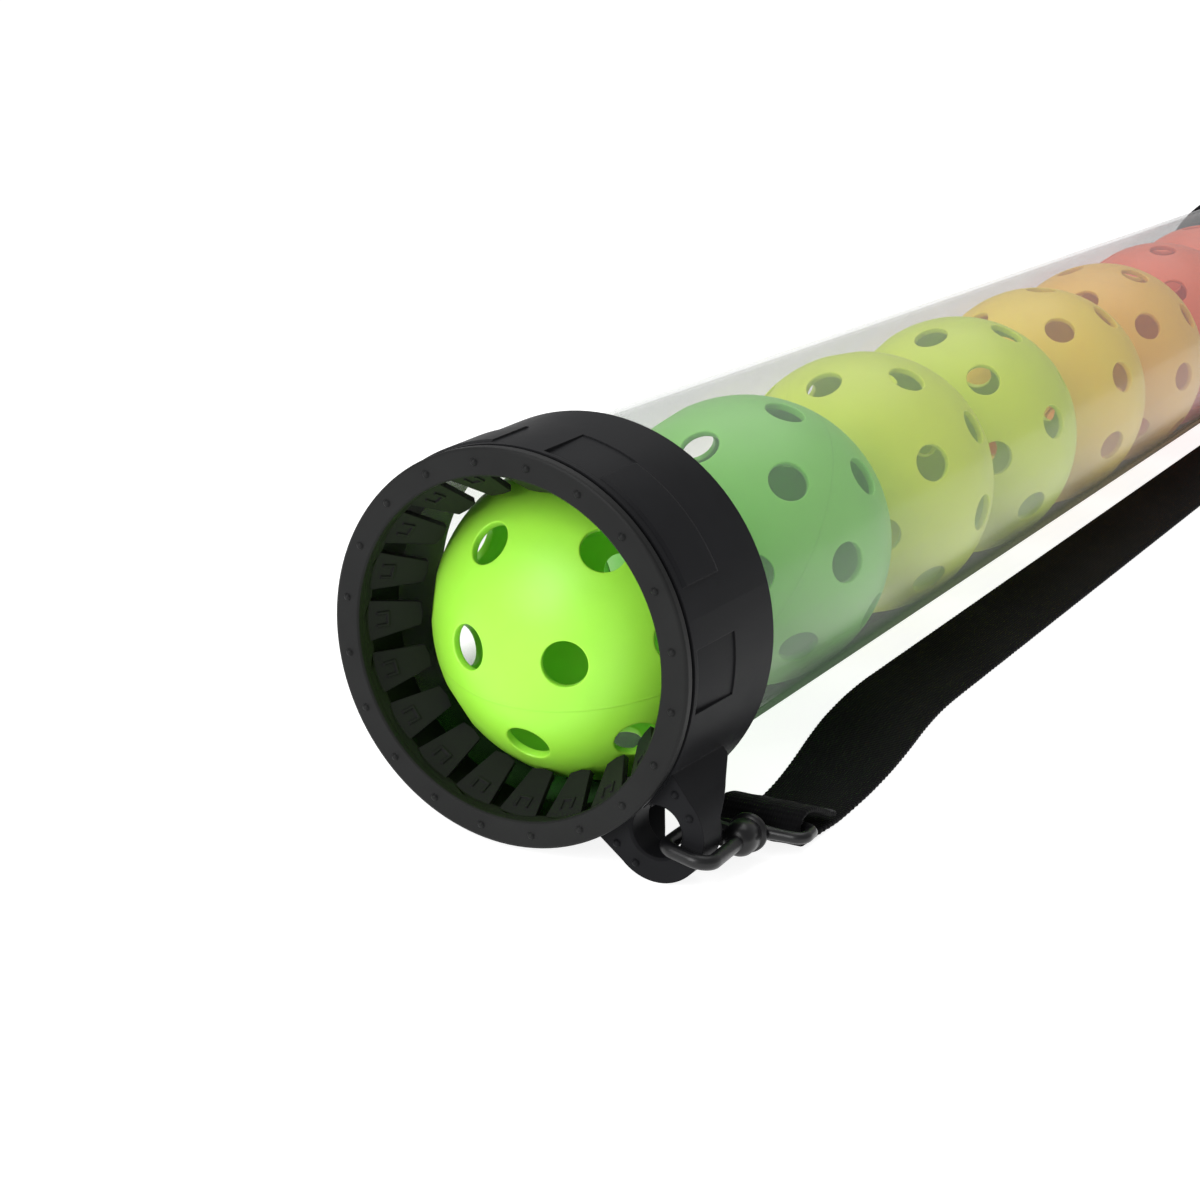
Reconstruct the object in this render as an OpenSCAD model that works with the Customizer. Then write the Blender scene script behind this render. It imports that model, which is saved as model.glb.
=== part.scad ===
// Pick-up tube for perforated plastic balls.
// The tube lies on a floor: X to the right, Y along the tube away from the mouth, Z up.
// Modules are drawn about the tube's axis with the mouth face at y = 0, then moved by place().

/* [Tube] */
// Outside diameter of the clear tube, which sets the size of the balls, collars and ring
tube_od = 81; // [74:0.5:92]
// Wall thickness of the clear tube
tube_wall = 1.2; // [0.8:0.1:1.6]
// Length of the clear tube
tube_len = 650; // [640:5:900]

/* [Balls] */
// Room between a ball and the bore of the tube
ball_room = 2.3; // [1.5:0.1:3]
// Wall thickness of a ball
ball_wall = 1.9; // [1.2:0.1:3]
// Diameter of the round holes in a ball
ball_hole_d = 10; // [7:0.5:11]

/* [Collars] */
// How far a collar's rear rim, which touches the floor, stands out from the tube
rim_wall = 4.1; // [3.5:0.1:5]
// How far a collar stands out from the tube just behind the face ring
front_wall = 3; // [2.9:0.1:3.4]
// Length of a collar behind the face ring
collar_len = 35.2; // [33:0.2:45]
// How far the tube goes into a collar
socket_depth = 19.6; // [12:0.2:20]
// Depth of the groove behind the face ring
groove_depth = 0.9; // [0.3:0.1:1.4]
// Width of the groove behind the face ring
groove_w = 0.8; // [0.4:0.1:1.2]
// Angle that one grip pocket covers
pocket_angle = 18; // [12:1:22]
// Depth of a grip pocket at its front end
pocket_depth = 0.9; // [0.3:0.1:1.4]
// Length of a grip pocket along the collar
pocket_len = 15.6; // [10:0.2:18]
// Angle that one raised pad covers
pad_angle = 39; // [20:1:40]
// Height of a raised pad
pad_h = 0.4; // [0.2:0.1:0.8]

/* [Lugs] */
// Distance from a collar's rim to the middle of a lug's hole
lug_out = 4.2; // [3.6:0.1:6]
// Radius of a lug's round end
lug_r = 11.2; // [10.8:0.1:12]
// Diameter of the hole in a lug
lug_hole_d = 11.6; // [11.4:0.1:12]
// Thickness of a lug's plate
lug_t = 8; // [6:0.2:8.4]
// Set-back of a lug's front from the mouth face
lug_setback = 4; // [3.6:0.1:5]
// Thickness of the webs behind a lug's plate
web_t = 2.2; // [1.4:0.1:3]
// Length of the webs where they meet the collar
web_len = 14; // [8:0.5:16]
// How far the webs reach past the middle of the hole
web_reach = 6; // [2:0.5:8]

/* [Finger ring] */
// How far the face ring stands out from the tube
face_wall = 2.9; // [2.4:0.1:3.4]
// Thickness of the face ring
face_t = 2.4; // [2:0.1:3.4]
// Room between a ball and the edge of the mouth
mouth_room = 0.3; // [0.1:0.1:0.7]
// Length of one finger
finger_len = 13.4; // [9:0.2:14]
// Lean of the fingers towards the tube's axis
finger_lean = 30; // [20:1:34]
// Width of a finger at its root
finger_root_w = 9.4; // [7:0.1:10.4]
// Width of a finger at its tip
finger_tip_w = 5.2; // [4:0.1:7]
// Thickness of a finger
finger_t = 1.4; // [0.8:0.1:1.8]
// Height of the peak at a finger's tip
finger_peak = 0.5; // [0.3:0.1:3]
// Depth of the hub that carries the fingers
hub_depth = 2.8; // [2.2:0.1:5]
// Radius of the pips on the face
pip_r = 0.85; // [0.5:0.05:1.2]

/* [End cap] */
// Thickness of the cap outside the collar
cap_t = 6; // [5:0.2:9]
// Length of the cap's skirt inside the collar
skirt_len = 11; // [6:0.5:14]
// Wall thickness of the cap's skirt
skirt_t = 1.8; // [1.2:0.1:2.6]
// Number of grip notches round the cap
cap_notches = 24; // [12:1:36]

/* [Snap hooks] */
// Diameter of the hook's bar
bar_d = 3.2; // [2.8:0.1:3.4]
// Distance between the hook's tip and its back
claw_w = 10.8; // [10.6:0.1:11.6]
// Length of the hook from the lug to its barrel
claw_len = 10; // [9.5:0.1:12]
// Diameter of the swivel barrel
barrel_d = 7.6; // [7.2:0.1:8.4]
// Length of the swivel barrel
barrel_len = 7.5; // [7:0.1:10]
// Diameter of the swivel post
post_d = 2.6; // [2.2:0.1:2.8]
// Thickness of the gate
gate_t = 2.4; // [1.8:0.1:2.6]
// Width of the gate
gate_w = 2; // [1.6:0.1:2.2]
// Diameter of the gate's pin
pin_d = 1.4; // [1:0.1:1.6]
// Diameter of the wire of the strap eye
eye_d = 2.6; // [2.2:0.1:3]
// Length of the slot in the strap eye
eye_gap = 5; // [4.6:0.2:8]
// Turn of the hook towards the tube
hook_turn = 6; // [2:1:8]
// Dip of the hook towards the floor
hook_dip = 5; // [3:0.5:7]
// Roll of the claw about its barrel, which lifts the tip
hook_roll = 7; // [3:1:9]

/* [Strap] */
// Width of the webbing
strap_w = 25; // [20:1:26]
// Thickness of the webbing
strap_t = 1.3; // [1:0.1:1.6]
// Length of the sewn fold behind the eye
fold_len = 16; // [14:1:24]
// Width of the webbing where it's gathered round the eye
fold_w = 19.4; // [17:0.2:21]

/* [Clearances] */
// Gap between the tube and its socket
socket_gap = 0.1; // [0.05:0.05:0.3]
// Gap between pieces that slide on each other
slide_gap = 0.1; // [0.05:0.01:0.1]
// Gap round a turning pin
pin_gap = 0.05; // [0.02:0.01:0.1]
// Gap between loose pieces that rest on each other
rest_gap = 0.3; // [0.2:0.05:0.5]

/* [Hidden] */
$fn = 96;
bore_r = tube_od / 2 - tube_wall;
ball_r = bore_r - ball_room;
rim_r = tube_od / 2 + rim_wall;
front_r = tube_od / 2 + front_wall;
face_r = tube_od / 2 + face_wall;
mouth_r = ball_r + mouth_room;
socket_r = tube_od / 2 + socket_gap;
rim_y = face_t + collar_len;
stop_y = rim_y - socket_depth;
total_len = 2 * stop_y + tube_len;
cap_y = total_len - face_t;
skirt_r = bore_r - slide_gap;
lead_in = 1.5;
cap_hollow = 2.2;
cap_edge = 1;
notch_r = 2.4;
notch_depth = 0.8;
notch_from = 1.2;
edge = 0.6;
joint = 0.1;
bead = 0.03;

lug_reach = rim_r + lug_out;
// The lug and the rear rim touch the same floor, which sets the lug's place round the collar.
lug_angle = acos((rim_r - lug_r) / lug_reach) - 90;
lug_x = lug_reach * cos(lug_angle);
lug_z = lug_reach * sin(lug_angle);
lug_root = socket_r + 0.7;
lug_flare = 0.9;
lug_spread = asin((lug_r + lug_flare) / front_r);
lug_pips = [[-3.4, 9.6], [2.2, 8.8], [-3.4, -9.6], [2.2, -8.8]];

pocket_count = 5;
pocket_start = 1;
pocket_shift = 1.3;
pad_inset = 0.5;
pad_start = 46.5;
plain_angle = 18;
pad_count = 4;
finger_count = 20;
pip_circle = (face_r + mouth_r) / 2;
first_pip = 101.2;
root_r = mouth_r + 0.4;
root_y = face_t + 1.6;
hub_r = bore_r - slide_gap;
embed = 1.2;
tip_r = root_r - finger_len * sin(finger_lean);
tip_y = root_y + finger_len * cos(finger_lean);
mark_w = 3.4;
mark_len = 3;
mark_line = 0.6;
mark_h = 0.3;

// Balls rest on the bottom of the bore, the first one against the finger tips.
ball_drop = bore_r - ball_r - rest_gap;
ball_pitch = 2 * ball_r + rest_gap;
first_ball_y = tip_y + sqrt(pow(ball_r + rest_gap, 2) - pow(tip_r - ball_drop, 2));
low_ring = 17;
high_ring = 52.5;
low_count = 9;
high_count = 5;
// Resting turns of the balls about X, Y and Z, as they happened to roll in.
ball_turns = [[18, 1, -9], [-121, -31, -26], [144, 48, -38], [93, -27, -142],
              [35, 10, 80], [-60, 25, 15], [110, 5, -70], [-20, 62, 40]];

// Snap hook, drawn about the middle of the lug wall that it holds.
bar_r = bar_d / 2;
wall_mid = (lug_hole_d / 2 + lug_r) / 2;
hook_drop = 3.6;
hook_x = lug_x + sqrt(pow(wall_mid, 2) - pow(hook_drop, 2));
hook_y = lug_setback + lug_t / 2;
hook_z = lug_z - hook_drop;
tip_x = -claw_w / 2;
back_x = claw_w / 2;
tip_end = lug_t / 2 + 1.9;
front_tip = -lug_t / 2 - bar_r;
front_back = front_tip - 2.4;
claw_bend = 3;
barrel_x = back_x - 0.3;
barrel_end = claw_len + barrel_len;
cavity_d = barrel_d - 2.4;
cavity_wall = 1.8;
flange_w = 1.3;
flange_r = barrel_d / 2 + 0.6;
gate_x = tip_x + bar_r + gate_w / 2 + 0.15;
gate_end = lug_t / 2 + 0.9;
pivot_x = gate_x + 0.4;
pivot_y = claw_len + 0.6;
ear_r = 2;
ear_t = 1.2;
eye_r = eye_d / 2;
eye_room = 0.7;
eye_half = fold_w / 2 + eye_room + eye_r;
eye_bend = 2.4;
eye_near = barrel_end + eye_r + 0.4;
eye_far = eye_near + eye_gap + eye_d;

// Webbing: a sewn fold round each eye and a flat run along the floor.
wrap_r = eye_r + rest_gap + strap_t / 2;
eye_local = [barrel_x, eye_far * cos(hook_dip), -eye_far * sin(hook_dip)];
eye_x = hook_x + eye_local[0] * cos(hook_turn) - eye_local[1] * sin(hook_turn);
eye_y = hook_y + eye_local[0] * sin(hook_turn) + eye_local[1] * cos(hook_turn);
eye_z = hook_z + eye_local[2];
floor_z = -rim_r + strap_t / 2 + 0.1;
layer = strap_t + rest_gap;
rise_len = 20;
drift_from = 12;
drift_len = 100;
narrow_from = 4;
narrow_len = 36;
wrap_steps = 8;

// Half of the route as [distance behind the eye, height], from the tail to the flat run.
half_route = concat(
    [for (s = [fold_len, 12, 8, 4]) [s, upper_z(s)]],
    [for (k = [0 : wrap_steps]) let(a = 90 + 180 * k / wrap_steps)
        [wrap_r * cos(a), eye_z + wrap_r * sin(a)]],
    [for (s = [4, 8, 12, 16, rise_len, 30, 40, 50, 60, 70, 80, 95, 115]) [s, lower_z(s)]]);
route = concat(half_route,
    [for (i = [len(half_route) - 1 : -1 : 0])
        [total_len - 2 * eye_y - half_route[i][0], half_route[i][1]]]);

// Place of the whole object: over the middle of its bounds, standing on the floor.
claw_centre = bend_centre([tip_x, front_tip], [back_x, front_back], [back_x, 0], claw_bend);
roll_slope = cos(hook_turn) * sin(hook_roll) * sin(hook_dip);
claw_slope = [sin(hook_turn) * cos(hook_roll) - roll_slope, cos(hook_turn) * cos(hook_dip)];
claw_shift = barrel_x * (sin(hook_turn) * (1 - cos(hook_roll)) + roll_slope);
low_y = hook_y + claw_shift + claw_centre * claw_slope - claw_bend * norm(claw_slope) - bar_r;
high_y = cap_y + cap_t;
eye_side = hook_x + (barrel_x + eye_half) * cos(hook_turn) + eye_r
         - (eye_near + eye_bend) * cos(hook_dip) * sin(hook_turn);
strap_side = max([for (p = route) side_x(p[0]) + half_width(p[0]) * cos(side_turn(p[0]))]);
high_x = max(eye_side, strap_side);
mid_x = (high_x - rim_r) / 2;
mid_y = (high_y + low_y) / 2;

// Helpers

module place() translate([-mid_x, -mid_y, rim_r]) children();

// The far end is the mouth end seen in a mirror.
module far_end() translate([0, total_len, 0]) mirror([0, 1, 0]) children();

// Turns an outline of [radius, y] about the tube's axis, all round or over an angle.
module turned(points) rotate([-90, 0, 0]) rotate_extrude() polygon(points);
module sector(points, angle) rotate([-90, 0, 0]) rotate([0, 0, -angle / 2])
    rotate_extrude(angle = angle) polygon(points);
module round_axis(angle) rotate([0, -angle, 0]) children();
module along_y(y, h, r) translate([0, y, 0]) rotate([-90, 0, 0]) cylinder(h = h, r = r);

// Radius of the collar's outside at a distance y from the mouth face.
function skin(y) = front_r
    + (rim_r - front_r) * (y - face_t - groove_w) / (collar_len - groove_w - edge);

function unit(v) = v / norm(v);
function half_angle(a, b, c) = acos(unit(a - b) * unit(c - b)) / 2;
function trim(a, b, c, rad) = rad / tan(half_angle(a, b, c));
function bend_centre(a, b, c, rad) =
    b + unit(unit(a - b) + unit(c - b)) * rad / sin(half_angle(a, b, c));

// Straight and bent stretches of round bar in the XY plane.
module bar_run(p, q, r) translate([p[0], p[1], 0])
    rotate([0, 90, atan2(q[1] - p[1], q[0] - p[0])]) cylinder(h = norm(q - p), r = r, $fn = 48);

module bar_bend(a, b, c, rad, r) {
    half = half_angle(a, b, c);
    centre = bend_centre(a, b, c, rad);
    from = b + unit(a - b) * trim(a, b, c, rad) - centre;
    to = b + unit(c - b) * trim(a, b, c, rad) - centre;
    turn = from[0] * to[1] - from[1] * to[0];
    start = turn > 0 ? from : to;
    translate([centre[0], centre[1], 0]) rotate([0, 0, atan2(start[1], start[0])])
        rotate_extrude(angle = 180 - 2 * half) translate([rad, 0]) circle(r, $fn = 48);
}

// A short ring, a hair thicker than the bar, joins a straight to its bend.
module bar_joint(p, along, r) translate([p[0], p[1], 0])
    rotate([0, 90, atan2(along[1], along[0])])
        cylinder(h = 3 * joint, r = r + bead, center = true, $fn = 48);

// A bar through a list of corners, with straight ends and rounded bends.
module bent_bar(points, rad, r, closed = false) {
    n = len(points);
    last = closed ? n - 1 : n - 2;
    for (i = [0 : last]) {
        a = points[(i + n - 1) % n];
        b = points[i];
        c = points[(i + 1) % n];
        d = points[(i + 2) % n];
        cut_b = closed || i > 0 ? trim(a, b, c, rad) : 0;
        cut_c = closed || i < last ? trim(b, c, d, rad) : 0;
        along = unit(c - b);
        from = b + along * cut_b;
        to = c - along * cut_c;
        bar_run(from + along * (cut_b > 0 ? joint : 0), to - along * (cut_c > 0 ? joint : 0), r);
        if (cut_b > 0) bar_joint(from, along, r);
        if (cut_c > 0) bar_joint(to, along, r);
        if (closed || i < last) bar_bend(b, c, d, rad, r);
    }
}

// Tube and collars

module tube() color([0.85, 0.88, 0.86, 0.4]) difference() {
    along_y(stop_y, tube_len, tube_od / 2);
    along_y(stop_y - 1, tube_len + 2, bore_r);
}

module collar_body() turned([
    [bore_r, face_t], [bore_r, stop_y], [socket_r, stop_y], [socket_r, rim_y - edge],
    [socket_r + edge, rim_y], [rim_r - edge, rim_y], [rim_r, rim_y - edge],
    [front_r, face_t + groove_w],
    [front_r - groove_depth, face_t + groove_w],
    [front_r - groove_depth, face_t]]);

module grip_pocket() {
    y0 = face_t + groove_w + pocket_shift;
    y1 = y0 + pocket_len;
    sector([[skin(y0) - pocket_depth, y0], [skin(y1) - pocket_depth / 3, y1],
            [skin(y1) + 2, y1], [skin(y0) + 2, y0]], pocket_angle);
}

module grip_pad() {
    y0 = face_t + groove_w + pocket_shift + pad_inset;
    y1 = y0 + pocket_len - 2 * pad_inset;
    sector([[skin(y0) - 1, y0], [skin(y0) + 0.05, y0], [skin(y0 + 1) + pad_h, y0 + 1],
            [skin(y1 - 1) + pad_h, y1 - 1], [skin(y1) + 0.05, y1], [skin(y1) - 1, y1]], pad_angle);
}

// Outline of the lug in its own plane: the first axis points away from the tube.
module lug_outline(inset = 0) {
    half_root = front_r * sin(lug_spread) - inset;
    flank_x = front_r * cos(lug_spread);
    end_r = lug_r - inset;
    intersection() {
        translate([lug_reach, 0]) circle(end_r);
        translate([lug_root, -lug_r]) square([2 * lug_r + lug_out, 2 * lug_r]);
    }
    polygon([[lug_root, half_root], [flank_x, half_root], [lug_reach, end_r],
             [lug_reach, -end_r], [flank_x, -half_root], [lug_root, -half_root]]);
}

// Webs behind the plate: a rim along the lug's outline, cut to a slope.
module lug_webs() difference() {
    rotate([-90, 0, 0]) linear_extrude(height = lug_t + web_len + 2) difference() {
        lug_outline();
        lug_outline(web_t);
    }
    translate([0, 0, -lug_r * 2]) linear_extrude(height = lug_r * 4)
        polygon([[lug_root - 1, lug_t + web_len + 3], [lug_root - 1, lug_t + web_len],
                 [rim_r, lug_t + web_len], [lug_reach + web_reach, lug_t - 0.5],
                 [lug_reach + lug_r + 2, lug_t - 0.5], [lug_reach + lug_r + 2, lug_t + web_len + 3]]);
}

module lug() translate([0, lug_setback, 0]) {
    rotate([-90, 0, 0]) linear_extrude(height = lug_t) lug_outline();
    lug_webs();
    for (p = lug_pips) translate([lug_reach + p[0], 0, p[1]]) sphere(pip_r, $fn = 24);
}

module lug_hole() translate([lug_reach, lug_setback, 0]) {
    along_y(-1, lug_t + 2, lug_hole_d / 2);
    for (end = [[-0.01, 1, 0], [lug_t + 0.01, 0, 1]])
        translate([0, end[0], 0]) rotate([end[1] > 0 ? -90 : 90, 0, 0])
            cylinder(h = edge, r1 = lug_hole_d / 2 + edge, r2 = lug_hole_d / 2);
}

module collar() difference() {
    union() {
        round_axis(plain_angle) collar_body();
        round_axis(lug_angle) lug();
        for (i = [0 : pad_count - 1]) round_axis(pad_start + i * 360 / pocket_count) grip_pad();
    }
    for (i = [0 : pocket_count - 1]) round_axis(pocket_start + i * 360 / pocket_count) grip_pocket();
    round_axis(lug_angle) lug_hole();
}

module mouth_collar() color([0.14, 0.14, 0.16]) collar();
module end_collar() color([0.14, 0.14, 0.16]) far_end() collar();

// Ring of springy fingers with its studded face

module face_and_hub() turned([
    [mouth_r + 0.4, 0], [face_r - edge, 0], [face_r - 0.15, 0.25],
    [face_r, edge], [face_r, face_t - 0.3], [face_r - 0.3, face_t],
    [hub_r, face_t], [hub_r, face_t + hub_depth],
    [root_r, face_t + hub_depth], [root_r, face_t - 0.4], [mouth_r, face_t - 0.8],
    [mouth_r, 0.4]]);

module finger_blade() linear_extrude(height = finger_t)
    polygon([[-finger_root_w / 2, -embed], [finger_root_w / 2, -embed],
             [finger_root_w / 2, 0], [finger_tip_w / 2, finger_len - finger_peak],
             [0, finger_len], [-finger_tip_w / 2, finger_len - finger_peak],
             [-finger_root_w / 2, 0]]);

// Small raised bracket near the root of each finger.
module finger_mark() translate([0, 2.2, -mark_h]) linear_extrude(height = mark_h + 0.2)
    difference() {
        translate([-mark_w / 2, 0]) square([mark_w, mark_len]);
        translate([-mark_w / 2 + mark_line, -1]) square([mark_w - 2 * mark_line, mark_len + 1 - mark_line]);
    }

module finger() translate([root_r, root_y, 0]) rotate([0, 90, finger_lean]) {
    finger_blade();
    finger_mark();
}

// The roots of the fingers end inside the hub, clear of the collar.
module finger_ring() color([0.2, 0.2, 0.21]) {
    face_and_hub();
    intersection() {
        union() for (i = [0 : finger_count - 1]) round_axis(first_pip + i * 360 / finger_count) finger();
        along_y(face_t, finger_len + root_y, hub_r - joint);
    }
    for (i = [0 : finger_count - 1]) round_axis(first_pip + i * 360 / finger_count)
        translate([pip_circle, 0.15, 0]) sphere(pip_r, $fn = 24);
}

// Cap that closes the far end and pulls off to empty the tube

module end_cap() color([0.16, 0.16, 0.18]) difference() {
    turned([[0, cap_y + cap_hollow], [skirt_r - skirt_t, cap_y + cap_hollow],
            [skirt_r - skirt_t, cap_y - skirt_len], [skirt_r - edge, cap_y - skirt_len],
            [skirt_r, cap_y - skirt_len + lead_in], [skirt_r, cap_y],
            [face_r, cap_y], [face_r, cap_y + cap_t - cap_edge],
            [face_r - cap_edge, cap_y + cap_t], [0, cap_y + cap_t]]);
    for (i = [0 : cap_notches - 1]) round_axis(i * 360 / cap_notches)
        translate([face_r + notch_r - notch_depth, 0, 0]) along_y(cap_y + notch_from, cap_t, notch_r);
}

// Perforated balls

module ball_hole(lat, lon) rotate([0, 90 - lat, lon]) translate([0, 0, ball_r - ball_wall - 3])
    cylinder(h = ball_wall + 5, r = ball_hole_d / 2, $fn = 48);

module half_holes() {
    ball_hole(90, 0);
    for (k = [0 : low_count - 1]) ball_hole(low_ring, (k + 0.5) * 360 / low_count);
    for (k = [0 : high_count - 1]) ball_hole(high_ring, (k + 0.5) * 360 / high_count);
}

module ball_shell() difference() {
    sphere(ball_r);
    sphere(ball_r - ball_wall);
    half_holes();
    rotate([180, 0, 180 / low_count]) half_holes();
}

module ball(i, tint) color(tint) translate([0, first_ball_y + (i - 1) * ball_pitch, -ball_drop])
    rotate(ball_turns[i - 1]) ball_shell();

// Snap hooks: claw and barrel, gate on a pin, and a swivelling strap eye

module at_hook() translate([hook_x, hook_y, hook_z]) rotate([-hook_dip, 0, hook_turn]) children();

// The claw and its gate roll about the barrel, while the eye stays level.
module rolled() translate([barrel_x, 0, 0]) rotate([0, hook_roll, 0]) translate([-barrel_x, 0, 0])
    children();

// Two ears for the gate's pin, joined to the hook's back behind the gate.
module gate_ears() translate([0, 0, -gate_t / 2 - pin_gap - ear_t])
    linear_extrude(height = gate_t + 2 * (pin_gap + ear_t)) {
        translate([pivot_x, pivot_y]) circle(ear_r, $fn = 48);
        polygon([[pivot_x, pivot_y - ear_r], [pivot_x + ear_r + 0.4, pivot_y + 0.2],
                 [back_x, pivot_y + 0.2], [back_x, pivot_y + ear_r], [pivot_x, pivot_y + ear_r]]);
    }

module hook() at_hook() rolled() difference() {
    union() {
        bent_bar([[tip_x, tip_end], [tip_x, front_tip], [back_x, front_back],
                  [back_x, claw_len + 1]], claw_bend, bar_r);
        translate([barrel_x, 0, 0]) {
            along_y(claw_len, barrel_len, barrel_d / 2);
            along_y(barrel_end - flange_w, flange_w, flange_r);
        }
        gate_ears();
    }
    translate([barrel_x, 0, 0]) {
        along_y(claw_len + cavity_wall + 1.6, barrel_len - 2 * cavity_wall - 1.6, cavity_d / 2);
        along_y(barrel_end - cavity_wall - 1, cavity_wall + 2, post_d / 2 + pin_gap);
    }
    translate([pivot_x, pivot_y, -gate_t * 2]) cylinder(h = gate_t * 4, r = pin_d / 2, $fn = 48);
    translate([pivot_x - ear_r - 0.5, pivot_y - ear_r - 0.5, -gate_t / 2 - pin_gap])
        cube([2 * ear_r + 0.8, 2 * ear_r + 0.8, gate_t + 2 * pin_gap]);
}

module gate() at_hook() rolled() difference() {
    lean = atan2(gate_x - pivot_x, pivot_y - gate_end);
    reach = norm([gate_x - pivot_x, pivot_y - gate_end]) - gate_w / 2;
    translate([pivot_x, pivot_y, -gate_t / 2]) linear_extrude(height = gate_t) {
        circle(ear_r - 0.2, $fn = 48);
        rotate([0, 0, lean]) {
            translate([-gate_w / 2, -reach]) square([gate_w, reach]);
            translate([0, -reach]) circle(gate_w / 2, $fn = 32);
        }
    }
    translate([pivot_x, pivot_y, -gate_t]) cylinder(h = gate_t * 2, r = pin_d / 2 + pin_gap, $fn = 48);
}

module gate_pin() at_hook() rolled() translate([pivot_x, pivot_y, -gate_t / 2 - pin_gap - ear_t])
    cylinder(h = gate_t + 2 * (pin_gap + ear_t), r = pin_d / 2, $fn = 48);

module eye() at_hook() translate([barrel_x, 0, 0]) {
    bent_bar([[-eye_half, eye_near], [eye_half, eye_near], [eye_half, eye_far],
              [-eye_half, eye_far]], eye_bend, eye_r, closed = true);
    along_y(barrel_end - cavity_wall - 1.1, cavity_wall + 1.5 + eye_r, post_d / 2);
    along_y(barrel_end - cavity_wall - 1.3, 1.1, cavity_d / 2 - 0.3);
}

module mouth_hook() color([0.1, 0.1, 0.11]) hook();
module mouth_gate() color([0.12, 0.12, 0.13]) gate();
module mouth_gate_pin() color([0.4, 0.4, 0.42]) gate_pin();
module mouth_eye() color([0.1, 0.1, 0.11]) eye();
module end_hook() color([0.1, 0.1, 0.11]) far_end() hook();
module end_gate() color([0.12, 0.12, 0.13]) far_end() gate();
module end_gate_pin() color([0.4, 0.4, 0.42]) far_end() gate_pin();
module end_eye() color([0.1, 0.1, 0.11]) far_end() eye();

// Strap: one ribbon from the sewn tail at the mouth end to the tail at the far end

// Share of the lift that is left at a distance s behind the eye.
function lift(s) = s >= rise_len ? 0 : (1 + cos(180 * s / rise_len)) / 2;
function upper_z(s) = floor_z + layer + (eye_z + wrap_r - floor_z - layer) * lift(s);
function lower_z(s) = floor_z + (eye_z - wrap_r - floor_z) * lift(s);
function eased(q) = q <= 0 ? 0 : q >= 1 ? 1 : (1 - cos(180 * q)) / 2;

function from_end(s) = min(s, total_len - 2 * eye_y - s);
function side_x(s) = eye_x + (lug_x - eye_x) * eased((from_end(s) - drift_from) / drift_len);
function half_width(s) = fold_w / 2
    + (strap_w - fold_w) / 2 * eased((from_end(s) - narrow_from) / narrow_len);
function side_turn(s) = hook_turn * (1 - eased((from_end(s) - drift_from) / drift_len))
    * (s < total_len / 2 - eye_y ? 1 : -1);
function normal_at(i) = let(a = route[max(i - 1, 0)], b = route[min(i + 1, len(route) - 1)],
    t = unit(b - a)) [-t[1], t[0]];
function ribbon_point(i, side, face) = let(s = route[i][0], n = normal_at(i) * face * strap_t / 2,
    out = side * half_width(s), turn = side_turn(s))
    [side_x(s) + out * cos(turn), eye_y + s + n[0] + out * sin(turn), route[i][1] + n[1]];
function ring_points(i) = [ribbon_point(i, -1, -1), ribbon_point(i, 1, -1),
    ribbon_point(i, 1, 1), ribbon_point(i, -1, 1)];
function ring_faces(i) = [for (k = [0 : 3]) let(j = (k + 1) % 4, a = 4 * i, b = 4 * (i + 1))
    each [[a + k, b + k, a + j], [a + j, b + k, b + j]]];

module strap() color([0.1, 0.1, 0.11]) {
    n = len(route);
    points = [for (i = [0 : n - 1]) each ring_points(i)];
    ends = [[0, 1, 2], [0, 2, 3],
            [4 * n - 2, 4 * n - 3, 4 * n - 4], [4 * n - 1, 4 * n - 2, 4 * n - 4]];
    polyhedron(points, concat([for (i = [0 : n - 2]) each ring_faces(i)], ends));
}

lime = [0.55, 0.86, 0.25];
green = [0.45, 0.8, 0.4];
citrus = [0.8, 0.85, 0.3];
orange = [0.92, 0.6, 0.3];
coral = [0.9, 0.45, 0.35];

place() tube();
place() mouth_collar();
place() finger_ring();
place() end_collar();
place() end_cap();
place() ball(1, lime);  // ball_1
place() ball(2, green);  // ball_2
place() ball(3, citrus);  // ball_3
place() ball(4, citrus);  // ball_4
place() ball(5, orange);  // ball_5
place() ball(6, orange);  // ball_6
place() ball(7, coral);  // ball_7
place() ball(8, coral);  // ball_8
place() mouth_hook();
place() mouth_gate();
place() mouth_gate_pin();
place() mouth_eye();
place() end_hook();
place() end_gate();
place() end_gate_pin();
place() end_eye();
place() strap();
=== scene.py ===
import math

import bmesh
import bpy
import numpy as np
from mathutils import Euler, Matrix, Vector


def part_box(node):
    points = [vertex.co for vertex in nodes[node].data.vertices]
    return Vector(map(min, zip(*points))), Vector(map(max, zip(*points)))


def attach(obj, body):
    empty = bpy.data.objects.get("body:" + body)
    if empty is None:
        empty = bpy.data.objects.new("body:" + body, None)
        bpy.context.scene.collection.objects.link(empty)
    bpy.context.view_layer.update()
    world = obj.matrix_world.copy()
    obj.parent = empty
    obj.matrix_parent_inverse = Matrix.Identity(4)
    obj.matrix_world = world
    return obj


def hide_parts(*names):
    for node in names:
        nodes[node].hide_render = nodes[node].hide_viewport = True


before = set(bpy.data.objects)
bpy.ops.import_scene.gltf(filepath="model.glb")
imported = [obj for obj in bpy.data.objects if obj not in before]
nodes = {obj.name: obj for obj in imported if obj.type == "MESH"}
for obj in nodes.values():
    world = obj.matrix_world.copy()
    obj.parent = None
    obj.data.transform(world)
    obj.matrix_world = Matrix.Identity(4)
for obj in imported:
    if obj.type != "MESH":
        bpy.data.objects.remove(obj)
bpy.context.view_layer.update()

scene = bpy.context.scene

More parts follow.
